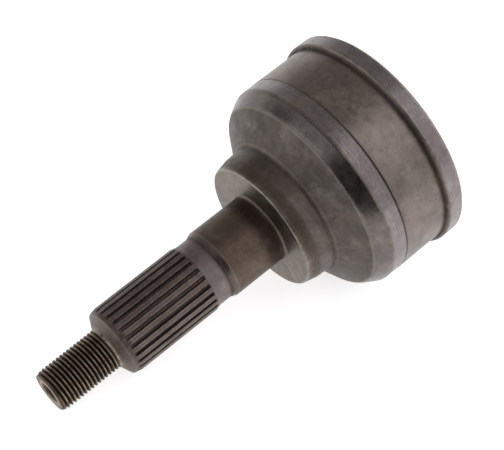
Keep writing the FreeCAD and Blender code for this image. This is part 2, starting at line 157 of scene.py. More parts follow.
def trace(corners: Sequence[Corner], step: float) -> Outline:
    """Follow an outline with straight runs and tangent arcs.

    A rounded corner is the arc tangent to both sides: it leaves them at radius times the tangent
    of half the turn, and its points are the centre plus the radius times the swept direction.
    Samples crowd at the corners. Wear is a bell curve of the distance to a convex corner, and grime
    with painted shade one of the distance to a concave corner.

    Args:
        corners: The corners in order, with the metal on the right of the line.
        step: The longest straight stretch between two samples.

    Returns:
        The sampled outline.
    """
    at = np.array([(c.x, c.r) for c in corners])
    rounding = np.array([c.rounding for c in corners])
    side = np.diff(at, axis=0)
    side /= np.linalg.norm(side, axis=1, keepdims=True)
    turn = np.zeros(len(at))
    turn[1:-1] = np.arctan2(side[:-1, 0] * side[1:, 1] - side[:-1, 1] * side[1:, 0],
                            np.sum(side[:-1] * side[1:], axis=1))
    reach = rounding * np.tan(np.abs(turn) / 2.0)
    crowd = np.array(CROWD)
    pieces = []
    for k, corner in enumerate(at):
        if k:
            start = at[k - 1] + side[k - 1] * reach[k - 1]
            end = corner - side[k - 1] * reach[k]
            length = float(np.linalg.norm(end - start))
            even = np.linspace(0.0, length, max(1, math.ceil(length / step)) + 1)
            ends = np.concatenate([even, crowd, length - crowd])
            stops = np.unique(np.round(ends[(ends > 0.0) & (ends <= length)], 6)) / max(length, 1e-9)
            pieces.append(start + (end - start) * stops[:, None])
        else:
            pieces.append(corner[None, :])
        if reach[k] > 0.0:
            bend = abs(turn[k])
            count = max(ARC_LEAST, math.ceil(bend * rounding[k] / step), math.ceil(bend / ARC_STEP))
            sweep = turn[k] * np.arange(1, count + 1) / count
            inward = np.array([-side[k - 1][1], side[k - 1][0]]) * np.sign(turn[k])
            centre = corner - side[k - 1] * reach[k] + inward * rounding[k]
            arm = -inward * rounding[k]
            pieces.append(centre + np.stack([arm[0] * np.cos(sweep) - arm[1] * np.sin(sweep),
                                             arm[0] * np.sin(sweep) + arm[1] * np.cos(sweep)], 1))
    line = np.concatenate(pieces)
    off = np.linalg.norm(line[:, None, :] - at[None, :, :], axis=2) - reach[None, :] * ARC_SHARE
    fall = np.exp(-(np.clip(off, 0.0, None) / np.array([c.reach for c in corners])) ** 2)
    edge = fall * (np.array([c.wear for c in corners]) * (turn < -SHARP_TURN))
    # Concave corners gather grime with painted shade.
    nook = fall * (np.array([c.soil for c in corners]) * (turn > SHARP_TURN))
    return Outline(line[:, 0], line[:, 1], edge.max(axis=1), nook.max(axis=1))


@dataclass
class Skin:
    """Points of a piece on one grid, in cylinder coordinates about the X axis."""

    x: Array
    r: Array
    angle: Array
    marks: Marks = field(default_factory=dict)

    def points(self) -> Array:
        """Cartesian points, one row each: x, r cos angle, r sin angle."""
        return np.stack([self.x, self.r * np.cos(self.angle), self.r * np.sin(self.angle)],
                        axis=-1).reshape(-1, 3)


def turned(outline: Outline, angles: Array) -> Skin:
    """Carry an outline around the axis: every angle repeats the same stations and radii."""
    shape = (len(outline.x), len(angles))
    spread = {Mark.WEAR: outline.wear, Mark.SOIL: outline.soil}
    return Skin(np.broadcast_to(outline.x[:, None], shape).copy(),
                np.broadcast_to(outline.r[:, None], shape).copy(),
                np.broadcast_to(angles[None, :], shape).copy(),
                {mark: np.broadcast_to(v[:, None], shape).copy() for mark, v in spread.items()})


def stacked(*skins: Skin) -> Skin:
    """Put skins with equal column counts one after another as the rows of one skin."""
    return Skin(*(np.concatenate([getattr(s, name) for s in skins]) for name in ("x", "r", "angle")),
                {mark: np.concatenate([s.marks[mark] for s in skins]) for mark in Mark})


def grid_quads(rows: int, columns: int, lead: int = 0) -> Array:
    """Faces of a grid that closes on itself: the last column joins the first, lead rows on.

    Args:
        rows: Rows of the grid.
        columns: Columns of the grid.
        lead: How many rows the grid climbs in a full turn.

    Returns:
        One face with four point numbers in each row, outward where x grows with the rows.
    """
    number = np.arange(rows * columns).reshape(rows, columns)
    flat = np.stack([number[:-1, :-1], number[:-1, 1:], number[1:, 1:], number[1:, :-1]], axis=-1)
    low, high = number[:rows - lead, -1], number[lead:, 0]
    seam = np.stack([low[:-1], high[:-1], high[1:], low[1:]], axis=-1)
    return np.concatenate([flat.reshape(-1, 4), seam])


def mesh_piece(name: str, parts: Sequence[tuple[Array, Array, Marks]],
               sharp: float = 34.0) -> Object:
    """Make one object from point grids, with equal points merged and folded faces dropped.

    A face with one doubled corner becomes a triangle, and one with more is left out.

    Args:
        name: The object's name.
        parts: For each grid its points in millimetres, its faces and its marks.
        sharp: The angle in degrees above which an edge stays sharp.

    Returns:
        The new object, at the origin.
    """
    starts = np.cumsum([0] + [len(points) for points, _, _ in parts])
    points = np.concatenate([points for points, _, _ in parts])
    quads = np.concatenate([quads + start for (_, quads, _), start in zip(parts, starts)])
    keys = np.floor(points / WELD_GRID + WELD_SHIFT).astype(np.int64)
    _, first, back = np.unique(keys, axis=0, return_index=True, return_inverse=True)
    quads = back.reshape(-1)[quads]
    same = quads == np.roll(quads, -1, axis=1)
    twice = (quads[:, 0] == quads[:, 2]) | (quads[:, 1] == quads[:, 3])
    whole = quads[(same.sum(axis=1) == 0) & ~twice]
    folded = (same.sum(axis=1) == 1) & ~twice
    kept = (same[folded].argmax(axis=1)[:, None] + np.arange(1, 4)) % 4
    short = np.take_along_axis(quads[folded], kept, axis=1)

    mesh = bpy.data.meshes.new(name)
    mesh.from_pydata((points[first] * MM).tolist(), [], whole.tolist() + short.tolist())
    for mark in Mark:
        values = np.concatenate([marks[mark].reshape(-1) for _, _, marks in parts])
        layer = mesh.attributes.new(mark.value, "FLOAT", "POINT")
        layer.data.foreach_set("value", values[first].astype(np.float32))
    mesh.update(calc_edges=True)
    mesh.shade_smooth()
    mesh.set_sharp_from_angle(angle=math.radians(sharp))
    piece = bpy.data.objects.new(name, mesh)
    bpy.context.scene.collection.objects.link(piece)
    return piece


def skin_part(skin: Skin, lead: int = 0) -> tuple[Array, Array, Marks]:
    """The points, faces and marks of a skin, as mesh_piece takes them."""
    rows, columns = skin.x.shape
    return skin.points(), grid_quads(rows, columns, lead), skin.marks


def soft_clip(value: Array, softness: float) -> Array:
    """Clip to 0..1 with rounded knees: half of root(v² + k²) less root((v - 1)² + k²) plus 1."""
    square = softness ** 2
    return (np.sqrt(value ** 2 + square) - np.sqrt((value - 1.0) ** 2 + square) + 1.0) / 2.0


def ease(value: Array, start: float, end: float) -> Array:
    """Rise smoothly from 0 at start to 1 at end: 3t² less 2t³ of the clipped share t."""
    share = np.clip((value - start) / (end - start), 0.0, 1.0)
    return share * share * (3.0 - 2.0 * share)


def ripple(x: Array, angle: Array, height: float, seed: int, waves: int = 14) -> Array:
    """The slight unevenness of a forged face: a sum of sines in whole turns and random stations.

    Args:
        x: Stations.
        angle: Angles about the axis.
        height: Root mean square height.
        seed: Seed of the random waves.
        waves: How many sines are added.

    Returns:
        The height at every point.
    """
    draw = np.random.default_rng(seed)
    around = draw.integers(2, 15, waves)[:, None, None]
    along = draw.uniform(-0.7, 0.7, waves)[:, None, None]
    phase = draw.uniform(0.0, FULL_TURN, waves)[:, None, None]
    return np.sin(around * angle + along * x + phase).sum(axis=0) * height * math.sqrt(2.0 / waves)


# --- shader bench
class Wire:
    """A socket of a node tree that takes part in arithmetic; each step adds a Math node."""

    def __init__(self, bench: Bench, socket: NodeSocket) -> None:
        """Keep the tree's bench and the socket."""
        self.bench = bench
        self.socket = socket

    def __add__(self, other: Wire | float) -> Wire:
        """Sum."""
        return self.bench.maths("ADD", self, other)

    def __sub__(self, other: Wire | float) -> Wire:
        """Difference."""
        return self.bench.maths("SUBTRACT", self, other)

    def __rsub__(self, other: float) -> Wire:
        """Difference from a number."""
        return self.bench.maths("SUBTRACT", other, self)

    def __mul__(self, other: Wire | float) -> Wire:
        """Product."""
        return self.bench.maths("MULTIPLY", self, other)

    def __pow__(self, power: float) -> Wire:
        """Power."""
        return self.bench.maths("POWER", self, power)

    __radd__ = __add__
    __rmul__ = __mul__

    def clipped(self) -> Wire:
        """The value held between 0 and 1."""
        return self.bench.wire("Clamp", {"Value": self})


@dataclass(frozen=True)
class Cloud:
    """Soft noise: cells to a unit, octaves, and how much each octave adds."""

    scale: float
    detail: float = 3.0
    rough: float = 0.55


class Bench:
    """Builds the nodes of one tree."""

    def __init__(self, tree: bpy.types.NodeTree) -> None:
        """Take an emptied tree."""
        self.tree = tree
        tree.nodes.clear()

    def node(self, kind: str, sockets: Sockets, **settings: object) -> Node:
        """Add a node, set it up, then give its sockets values or links.

        Args:
            kind: The node's type, without its ShaderNode prefix.
            sockets: A value, a wire or a socket for each input's name or number.
            settings: Its settings.

        Returns:
            The node.
        """
        node = self.tree.nodes.new("ShaderNode" + kind)
        for name, value in settings.items():
            setattr(node, name, value)
        for key, value in sockets.items():
            if isinstance(value, Wire):
                self.tree.links.new(value.socket, node.inputs[key])
            elif isinstance(value, NodeSocket):
                self.tree.links.new(value, node.inputs[key])
            else:
                node.inputs[key].default_value = value
        return node

    def wire(self, kind: str, sockets: Sockets, output: int | str = 0, **settings: object) -> Wire:
        """Add a node and hand back one of its outputs."""
        return Wire(self, self.node(kind, sockets, **settings).outputs[output])

    def maths(self, operation: str, *values: Wire | float) -> Wire:
        """A Math node on wires and numbers."""
        return self.wire("Math", dict(enumerate(values)), operation=operation)

    def blend(self, share: Wire | float, low: Wire | Colour, high: Wire | Colour,
              kind: str = "MIX") -> Wire:
        """Mix two colours by a share."""
        ends = [c if isinstance(c, Wire) else (*c, 1.0) for c in (low, high)]
        return self.wire("Mix", {0: share, 6: ends[0], 7: ends[1]}, 2, data_type="RGBA", blend_type=kind)

    def shaded(self, colour: Wire, factor: Wire) -> Wire:
        """Brighten or darken a colour by a factor around 1."""
        grey = self.wire("CombineColor", {0: factor, 1: factor, 2: factor})
        return self.blend(1.0, colour, grey, "MULTIPLY")

    def place(self) -> Wire:
        """The point in the piece's own coordinates, in millimetres."""
        own = self.wire("TexCoord", {}, "Object")
        return self.wire("VectorMath", {0: own, 3: 1.0 / MM}, operation="SCALE")

    def split(self, vector: Wire) -> tuple[Wire, Wire, Wire]:
        """The three parts of a vector."""
        node = self.node("SeparateXYZ", {0: vector})
        return tuple(Wire(self, node.outputs[k]) for k in range(3))

    def vector(self, x: Wire | float, y: Wire | float, z: Wire | float) -> Wire:
        """A vector of three values."""
        return self.wire("CombineXYZ", {0: x, 1: y, 2: z})

    def cloud(self, vector: Wire, cloud: Cloud) -> Wire:
        """Soft noise at a point, 0 to 1."""
        return self.wire("TexNoise", {"Vector": vector, "Scale": cloud.scale, "Detail": cloud.detail,
                                      "Roughness": cloud.rough})

    def weighed(self, clouds: Sequence[Wire], weights: Sequence[float]) -> Wire:
        """Sum of clouds by their weights."""
        first, *others = (cloud * weight for cloud, weight in zip(clouds, weights))
        return sum(others, first)

    def step(self, value: Wire, start: float, end: float) -> Wire:
        """Rise smoothly from 0 at start to 1 at end."""
        return self.wire("MapRange", {"Value": value, "From Min": start, "From Max": end},
                         interpolation_type="SMOOTHSTEP")

    def between(self, value: Wire, start: float, end: float, soft: float) -> Wire:
        """1 between start and end, with a soft rise and fall."""
        rise = self.step(value, start - soft, start + soft)
        return rise * (1.0 - self.step(value, end - soft, end + soft))

    def gauge(self, operation: str, vector: Wire, other: Sequence[float]) -> Wire:
        """One number from two vectors, such as their distance or dot product."""
        return self.wire("VectorMath", {0: vector, 1: tuple(other)}, 1, operation=operation)

    def mark(self, mark: Mark) -> Wire:
        """A value that the mesh carries."""
        return self.wire("Attribute", {}, "Fac", attribute_name=mark.value)

    def bump(self, height: Wire, depth: float) -> Wire:
        """A Bump node whose height is in shares of a depth in millimetres."""
        return self.wire("Bump", {"Height": height, "Strength": 1.0, "Distance": depth * MM})

    def looks(self) -> tuple[Wire, Wire]:
        """Whether the camera looks here straight, and whether by that, a mirror or glass."""
        light = self.node("LightPath", {})
        camera, mirror, glass = (Wire(self, light.outputs[f"Is {ray} Ray"])
                                 for ray in ("Camera", "Glossy", "Transmission"))
        return camera, (camera + mirror + glass).clipped()


def new_material(name: str) -> tuple[Material, Bench]:
    """An empty material and the bench for its tree."""
    material = bpy.data.materials.new(name)
    material.use_nodes = True
    return material, Bench(material.node_tree)


@dataclass(frozen=True)
class Metal:
    """The shader's plain values shared by all steel finishes."""

    metallic: float = 1.0
    ior: float = 1.5

    def close(self, bench: Bench, colour: Wire, roughness: Wire, normal: Wire) -> None:
        """End a tree with a Principled shader."""
        shader = bench.node("BsdfPrincipled", {
            "Base Color": colour, "Roughness": roughness, "Normal": normal,
            "Metallic": self.metallic, "IOR": self.ior})
        bench.node("OutputMaterial", {"Surface": shader.outputs[0]})


# --- finishes
@dataclass(frozen=True)
class Zone:
    """A stretch along the axis with a tone of its own."""

    start: float
    end: float
    colour: Colour
    share: float
    soft: float = 0.25
    lines: float = 0.0
    polish: float = 0.0


@dataclass(frozen=True)
class ForgedFinish:
    """Phosphated and oiled forged steel: mottled, turned in bands, worn light at its edges, with grime and
    painted shade darkening its hollows.

    A span holds the values between which a cloud turns from nothing to its full effect. Weights
    are the shares of the clouds in a sum, and a tone is a factor's base with what clouds add.
    """

    name: str
    dark: Colour
    light: Colour
    zones: tuple[Zone, ...] = ()
    zone_mottle: float = 0.5
    worn_and_sheen: Colour = tone(196, 188, 178)
    grime_and_shade: Colour = tone(44, 34, 28)
    wear_share: float = 0.55
    shade_and_grime_share: float = 0.75
    haze: Colour = tone(168, 160, 154)
    haze_share: float = 0.34
    rust: Colour = tone(124, 88, 56)
    rust_share: float = 0.35
    rough_low: float = 0.33
    rough_high: float = 0.52
    fleck_at: Triple | None = None
    fleck_radius: float = 2.6
    fleck_core: float = 0.3
    fleck_share: float = 0.8
    fresh_rust: Colour = tone(150, 92, 52)
    grain: float = 0.012
    pit_scale: float = 0.55
    pit_depth: float = 2.5
    pit_share: float = 0.7
    line_depth: float = 0.016
    line_pitch: float = 0.56
    line_wander: float = 2.2
    line_tone: float = 0.15
    line_streak: float = 0.45
    streak_stretch: Triple = (5.0, 1.6, 0.3)
    streak_tone: Pair = (0.9, 0.2)
    mix_weights: Triple = (0.42, 0.33, 0.25)
    rough_weights: Pair = (0.6, 0.4)
    smear_along: Pair = (0.10, 0.8)
    smear_around: Pair = (1.9, 0.05)
    smear_out: float = 0.05
    blotch_tone: Triple = (0.84, 0.20, 0.30)
    shade_and_grime_mottle: Pair = (0.6, 0.8)
    shade_and_grime_rough: float = 0.2
    wear_weights: Pair = (0.5, 0.5)
    wear_polish: float = 0.08
    patches: Cloud = Cloud(0.07, 4.0, 0.6)
    mottle: Cloud = Cloud(0.42, 5.0, 0.62)
    grit: Cloud = Cloud(2.6, 3.0, 0.6)
    streaks: Cloud = Cloud(1.0, 4.0, 0.65)
    smears: Cloud = Cloud(1.3, 4.0, 0.62)
    blotches: Cloud = Cloud(0.16, 5.0, 0.68)
    rusting: Cloud = Cloud(0.23, 5.0, 0.7)
    mix_span: Span = (0.40, 0.60)
    rough_span: Span = (0.35, 0.65)
    smear_span: Span = (0.5, 0.72)
    blotch_span: Span = (0.40, 0.62)
    rust_span: Span = (0.62, 0.74)
    fleck_span: Span = (0.40, 0.62)
    pit_span: Span = (0.10, 0.17)
    pitted_span: Span = (0.52, 0.6)
    wear_span: Span = (0.38, 0.56)

    def make(self) -> Material:
        """Build the material."""
        material, bench = new_material(self.name)
        place = bench.place()
        x, y, z = bench.split(place)
        radius = (y * y + z * z) ** 0.5
        angle = bench.maths("ARCTAN2", z, y)
        patches, mottle, grit = (bench.cloud(place, c) for c in (self.patches, self.mottle, self.grit))
        stretched = (part * scale for part, scale in zip((x, angle, radius), self.streak_stretch))
        streaks = bench.cloud(bench.vector(*stretched), self.streaks)
        mix = bench.weighed((patches, mottle, grit), self.mix_weights)
        colour = bench.blend(bench.step(mix, *self.mix_span), self.dark, self.light)
        rough = self.rough_low + (self.rough_high - self.rough_low) * bench.step(
            bench.weighed((mottle, grit), self.rough_weights), *self.rough_span)
        height = grit * self.grain

        lines = bench.maths("SINE", x * (FULL_TURN / self.line_pitch) + streaks * self.line_wander)
        cut = (streaks - CLOUD_MEAN) * self.line_streak + lines * self.line_tone
        for zone in self.zones:
            inside = bench.between(x, zone.start, zone.end, zone.soft)
            uneven = inside * (zone.share + (mottle - CLOUD_MEAN) * self.zone_mottle * zone.share)
            colour = bench.blend(uneven, colour, zone.colour)
            if zone.polish:
                rough = rough - inside * zone.polish
            if zone.lines:
                height = height + inside * lines * (self.line_depth * zone.lines)
                colour = bench.shaded(colour, 1.0 + inside * cut * zone.lines)

        (along_x, along_turn), (around_turn, around_x) = self.smear_along, self.smear_around
        slant = bench.vector(x * along_x + angle * along_turn, angle * around_turn - x * around_x,
                             radius * self.smear_out)
        smears = bench.step(bench.cloud(slant, self.smears), *self.smear_span)
        colour = bench.blend(smears * self.haze_share, colour, self.haze)
        blotches = bench.step(bench.cloud(place, self.blotches), *self.blotch_span)
        base, by_blotch, by_grit = self.blotch_tone
        colour = bench.shaded(colour, base + blotches * by_blotch + (grit - CLOUD_MEAN) * by_grit)
        rusting = bench.step(bench.cloud(place, self.rusting), *self.rust_span)
        colour = bench.blend(rusting * self.rust_share, colour, self.rust)
        colour = bench.shaded(colour, self.streak_tone[0] + streaks * self.streak_tone[1])
        if self.fleck_at:
            away = bench.gauge("DISTANCE", place, self.fleck_at)
            fleck = 1.0 - bench.step(away, self.fleck_core, self.fleck_radius)
            fleck = fleck * bench.step(grit, *self.fleck_span) * self.fleck_share
            colour = bench.blend(fleck, colour, self.fresh_rust)

        cells = bench.wire("TexVoronoi", {"Vector": place, "Scale": self.pit_scale, "Randomness": 1.0})
        pits = (1.0 - bench.step(cells, *self.pit_span)) * bench.step(patches, *self.pitted_span)
        colour = bench.blend(pits * self.pit_share, colour, self.grime_and_shade)
        # Hollows darken towards the dark colour: painted shade with grime.
        soil = bench.mark(Mark.SOIL) * (self.shade_and_grime_mottle[0] + mottle * self.shade_and_grime_mottle[1])
        colour = bench.blend((soil * self.shade_and_grime_share).clipped(), colour, self.grime_and_shade)
        bare = bench.step(bench.weighed((mottle, grit), self.wear_weights), *self.wear_span)
        # Worn edges lighten; on the bell this mark also carries a painted sheen.
        wear = bench.mark(Mark.WEAR) * bare
        colour = bench.blend((wear * self.wear_share).clipped(), colour, self.worn_and_sheen)
        normal = bench.bump(height - pits * (self.grain * self.pit_depth), 1.0)
        rough = (rough + soil * self.shade_and_grime_rough - wear * self.wear_polish).clipped()
        Metal().close(bench, colour, rough, normal)
        return material


@dataclass(frozen=True)
class GroundFinish:
    """Ground, hardened steel: even and bright, with fine marks around the axis."""

    name: str
    colour: Colour
    stain: Colour
    stain_share: float = 0.35
    roughness: float = 0.24
    mark_depth: float = 0.004
    film: Cloud = Cloud(0.16, 4.0, 0.6)
    film_span: Span = (0.4, 0.75)
    marks: Cloud = Cloud(1.0, 3.0, 0.6)
    mark_stretch: Pair = (7.0, 2.0)
    mark_tone: Pair = (0.92, 0.16)
    film_rough: float = 0.10
    mark_rough: float = 0.05

    def make(self) -> Material:
        """Build the material."""
        material, bench = new_material(self.name)
        place = bench.place()
        x, y, z = bench.split(place)
        film = bench.cloud(place, self.film)
        along, around = self.mark_stretch
        turn = bench.maths("ARCTAN2", z, y)
        marks = bench.cloud(bench.vector(x * along, turn * around, 0.0), self.marks)
        colour = bench.blend(bench.step(film, *self.film_span) * self.stain_share, self.colour, self.stain)
        colour = bench.shaded(colour, self.mark_tone[0] + marks * self.mark_tone[1])
        rough = self.roughness + film * self.film_rough + marks * self.mark_rough
        Metal().close(bench, colour, rough, bench.bump(marks, self.mark_depth))
        return material


@dataclass(frozen=True)
class BallFinish:
    """Polished bearing steel under a thin film of oil."""

    name: str = "polished_ball_steel"
    colour: Colour = tone(206, 206, 208)
    oil: Colour = tone(150, 142, 128)
    roughness: float = 0.07
    film: Cloud = Cloud(0.3)
    film_span: Span = (0.5, 0.8)
    film_share: float = 0.5
    film_rough: float = 0.06
    lapping: Cloud = Cloud(6.0, 2.0)
    lapping_depth: float = 0.0004

    def make(self) -> Material:
        """Build the material."""
        material, bench = new_material(self.name)
        place = bench.place()
        film = bench.cloud(place, self.film)
        share = bench.step(film, *self.film_span) * self.film_share
        colour = bench.blend(share, self.colour, self.oil)
        lapping = bench.bump(bench.cloud(place, self.lapping), self.lapping_depth)
        Metal().close(bench, colour, self.roughness + film * self.film_rough, lapping)
        return material


def dress(piece: Object, material: Material, node: str) -> None:
    """Give a new piece its material and slot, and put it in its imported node's place."""
    piece.data.materials.append(material)
    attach(piece, node)
    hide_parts(node)


# --- outer race
@dataclass
class StubThread:
    """The threaded end of the stub with its centre hole: 60 degree thread with flat crests."""

    tip: float = -132.0
    back: float = -107.1
    radius: float = 8.0
    pitch: float = 1.5
    cut: float = 0.92
    lead: float = 2.2
    lead_depth: float = 0.8
    runout: float = 2.0
    crest_share: float = 0.16
    root_gain: float = 1.10
    rounding: float = 0.06
    crest_wear: float = 0.16
    centre_radius: float = 4.4
    centre_cone: float = 4.8
    pilot_radius: float = 1.6
    pilot_depth: float = 8.5
    centre_shade_and_grime: float = 0.3
    centre_shade_and_grime_gain: float = 2.0
    overlap: float = 0.6
    dish_step: float = 0.8
    hidden_step: float = 2.0
    columns: int = 144
    rows_per_pitch: int = 14

    def helix(self) -> Skin:
        """The thread as a sheared grid whose rows climb one pitch in a turn.

        A point's station is the tip plus the pitch times its row share plus its share of a turn,
        held between the ends. Its phase is the fraction of that station less the turn share, and
        the radius is the blank's less the cut times a rounded V of the phase.
        """
        angles = circle(self.columns)
        length = self.back - self.tip
        rows = math.ceil((length / self.pitch + 1.0) * self.rows_per_pitch) + 1
        turn = angles[None, :] / FULL_TURN
        station = self.tip + self.pitch * (np.arange(rows)[:, None] / self.rows_per_pitch + turn - 1.0)
        x = np.clip(station, self.tip, self.back)
        phase = ((x - self.tip) / self.pitch - turn) % 1.0
        groove = (0.5 - self.crest_share / 2.0 - np.abs(phase - 0.5)) / (0.5 - self.crest_share)
        depth = soft_clip(groove * self.root_gain, self.rounding) - soft_clip(np.float64(0.0), self.rounding)
        fade = 1.0 - ease(x, self.back - self.runout, self.back)
        blank = self.radius - self.lead_depth * (1.0 - np.clip((x - self.tip) / self.lead, 0.0, 1.0))
        cut = self.cut * depth * fade
        r = np.minimum(blank, self.radius - cut)
        open_crest = np.clip(1.0 - np.abs(self.radius - r) / (self.crest_wear * self.cut), 0.0, 1.0)
        angle = np.broadcast_to(angles[None, :], x.shape).copy()
        # The groove's depth paints it darker: grime with painted shade in the thread's roots; the crests get
        # wear.
        return Skin(x, r, angle, {Mark.WEAR: open_crest, Mark.SOIL: np.clip(cut / self.cut, 0.0, 1.0)})

    def ends(self) -> list[Skin]:
        """The dished tip and the hidden back end, both closed at the axis."""
        dish = trace([
            Corner(self.tip + self.pilot_depth, 0.0),
            Corner(self.tip + self.pilot_depth, self.pilot_radius),
            Corner(self.tip + self.centre_cone, self.pilot_radius),
            Corner(self.tip, self.centre_radius),
            Corner(self.tip, self.radius - self.lead_depth)], self.dish_step)
        hidden = trace([
            Corner(self.back, self.radius),
            Corner(self.back + self.overlap, self.radius),
            Corner(self.back + self.overlap, 0.0)], self.hidden_step)
        bore = turned(dish, circle(self.columns))
        # Inside the centre hole the steel darkens: grime with painted shade in the recess.
        below = (self.centre_radius + self.centre_shade_and_grime - bore.r) * self.centre_shade_and_grime_gain
        bore.marks[Mark.SOIL] = np.clip(below, 0.0, 1.0)
        return [bore, turned(hidden, circle(self.columns))]

    def build(self) -> Object:
        """Make the threaded end as one closed piece."""
        parts = [skin_part(skin) for skin in self.ends()]
        parts.append(skin_part(self.helix(), self.rows_per_pitch))
        return mesh_piece("stub_thread", parts)


@dataclass
class StubShaft:
    """The splined shaft between the thread and the collar, with its neck and plain shank."""

    thread_back: float = -107.1
    front: float = -104.7
    land: float = -102.0
    runout: float = -68.5
    back: float = -66.1
    neck: float = -61.3
    shank: float = -58.9
    face: float = -37.0
    thread_radius: float = 8.0
    neck_radius: float = 12.6
    spline_radius: float = 13.15
    root_radius: float = 12.05
    shank_radius: float = 13.55
    root_fillet: float = 1.0
    teeth: int = 24
    gap_outer: float = 1.65
    gap_inner: float = 1.15
    gap_soft: float = 0.10
    gap_span: Span = (0.004, 0.992)
    edge: float = 0.07
    run_in: Pair = (0.7, 0.2)
    run_out: Pair = (0.3, 0.7)
    edge_wear: Pair = (0.10, 0.14)
    ring_wear: float = 0.6
    flank_shade_and_grime: float = 0.17
    gap_shade_and_grime: float = 0.45
    inside: float = 0.5
    step: float = 0.7

    def tooth_angles(self) -> Array:
        """Angles of the columns: each tooth's samples crowd at its flanks and edges.

        The half gap, the flank and the land are each split, so edges fall on columns.
        """
        pitch_length = FULL_TURN * self.spline_radius / self.teeth
        outer, inner, mid = self.gap_outer / 2.0, self.gap_inner / 2.0, pitch_length / 2.0
        edge = self.edge
        half = np.array([inner * 0.7, inner - edge, inner + edge * 0.5, (inner + outer) / 2.0,
                         outer - edge * 0.5, outer + edge, outer + edge * 3.5])
        offsets = np.concatenate([[0.0], half, [mid], pitch_length - half[::-1]])
        gaps = circle(self.teeth)[:, None] + QUARTER_TURN
        return (gaps + offsets[None, :] / self.spline_radius).reshape(-1)

    def outline(self) -> Outline:
        """The shaft's turned outline, closed at the axis inside its neighbours."""
        return trace([
            Corner(self.thread_back, 0.0),
            Corner(self.thread_back, self.thread_radius - 0.2),
            Corner(self.thread_back, self.thread_radius, rounding=0.1),
            Corner(self.front, self.neck_radius, rounding=0.5, wear=0.4, reach=0.5),
            Corner(self.land, self.spline_radius, rounding=0.8, wear=0.4, reach=0.5),
            Corner(self.runout, self.spline_radius, rounding=0.8, wear=0.3, reach=0.5),
            Corner(self.back, self.neck_radius, rounding=0.5, soil=0.3),
            Corner(self.neck, self.neck_radius, rounding=0.4, soil=0.5),
            Corner(self.shank, self.shank_radius, rounding=0.3, wear=0.4, reach=0.4),
            Corner(self.face, self.shank_radius, self.root_fillet, soil=0.0),
            Corner(self.face, self.shank_radius + self.root_fillet + 0.001),
            Corner(self.face + self.inside, self.shank_radius + self.root_fillet),
            Corner(self.face + self.inside, 0.0)], self.step)

    def build(self) -> Object:
        """Make the shaft: the blank's radius less the tooth gap's depth, eased out at its back.

        A gap is full at its inner width and rises straight to the land at its outer width.
        """
        skin = turned(self.outline(), self.tooth_angles())
        pitch_angle = FULL_TURN / self.teeth
        shifted = (skin.angle - QUARTER_TURN + pitch_angle / 2.0) % pitch_angle - pitch_angle / 2.0
        offset = np.abs(shifted) * self.spline_radius
        flank = (self.gap_outer - self.gap_inner) / 2.0
        share = soft_clip((self.gap_outer / 2.0 - offset) / flank, self.gap_soft)
        share = np.clip((share - self.gap_span[0]) / self.gap_span[1], 0.0, 1.0)
        tooth = self.spline_radius - (self.spline_radius - self.root_radius) * share
        along = ease(skin.x, self.front + self.run_in[0], self.land + self.run_in[1])
        along = along * (1.0 - ease(skin.x, self.runout - self.run_out[0], self.runout + self.run_out[1]))
        depth = np.clip(skin.r - tooth, 0.0, None) * along * (skin.r > self.root_radius)
        skin.r = skin.r - depth
        worn_at, worn_width = self.edge_wear
        middle = (self.gap_outer + self.gap_inner) / 4.0
        edges = np.exp(-((offset - self.gap_outer / 2.0 - worn_at) / worn_width) ** 2) * along
        # Gaps and the middle of their flanks darken: painted shade in the grooves, with grime.
        flanks = np.exp(-((offset - middle) / self.flank_shade_and_grime) ** 2) * along
        wear, soil = skin.marks[Mark.WEAR], skin.marks[Mark.SOIL]
        skin.marks[Mark.WEAR] = np.maximum(wear * self.ring_wear, edges)
        skin.marks[Mark.SOIL] = np.maximum.reduce([soil, flanks, share * along * self.gap_shade_and_grime])
        return mesh_piece("stub_shaft", [skin_part(skin)])


